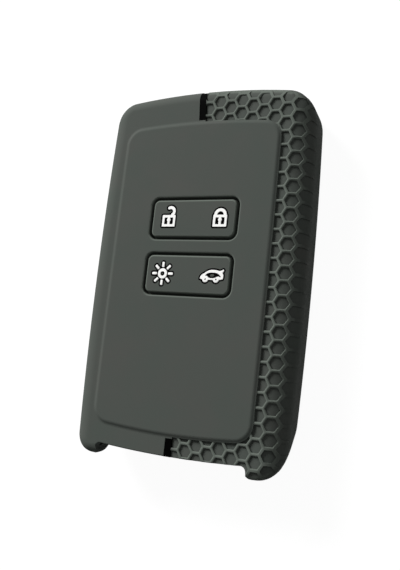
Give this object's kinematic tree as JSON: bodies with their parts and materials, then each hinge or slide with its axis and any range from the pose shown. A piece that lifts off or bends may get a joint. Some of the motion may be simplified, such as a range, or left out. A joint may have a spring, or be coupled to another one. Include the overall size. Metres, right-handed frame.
{
  "type": "key fob cover",
  "caption": "Soft silicone cover for a card-shaped car key, open at the back and at one end, with soft buttons on a raised panel and a honeycomb half.",
  "frame": {"origin": "middle of the footprint, on the plane of the rim round the back window", "axes": "+Z comes out of the front face that carries the buttons, +Y points to the closed end, and +X is to the right when the front is looked at with the closed end up"},
  "size_m": [0.0498, 0.082, 0.0127],
  "materials": {
    "cover_silicone": "matte",
    "black_silicone": "matte",
    "white_silicone": "matte"
  },
  "bodies": {
    "cover": {"cover_shell": "cover_silicone", "top_stripe": "black_silicone", "bottom_stripe": "black_silicone", "unlock_web": "cover_silicone", "lock_web": "cover_silicone", "lights_web": "cover_silicone", "boot_web": "cover_silicone"},
    "unlock": {"unlock_button": "cover_silicone", "unlock_icon": "white_silicone"},
    "lock": {"lock_button": "cover_silicone", "lock_icon": "white_silicone"},
    "lights": {"lights_button": "cover_silicone", "lights_icon": "white_silicone"},
    "boot": {"boot_button": "cover_silicone", "boot_icon": "white_silicone"}
  },
  "joints": [
    {"name": "unlock_press", "type": "slide", "parent": "cover", "child": "unlock", "axis": [0, 0, -1], "range_m": [0, 0.0006], "stiffness_N_per_m": 1500, "deforming": ["unlock_web"]},
    {"name": "lock_press", "type": "slide", "parent": "cover", "child": "lock", "axis": [0, 0, -1], "range_m": [0, 0.0006], "stiffness_N_per_m": 1500, "deforming": ["lock_web"]},
    {"name": "lights_press", "type": "slide", "parent": "cover", "child": "lights", "axis": [0, 0, -1], "range_m": [0, 0.0006], "stiffness_N_per_m": 1500, "deforming": ["lights_web"]},
    {"name": "boot_press", "type": "slide", "parent": "cover", "child": "boot", "axis": [0, 0, -1], "range_m": [0, 0.0006], "stiffness_N_per_m": 1500, "deforming": ["boot_web"]}
  ]
}
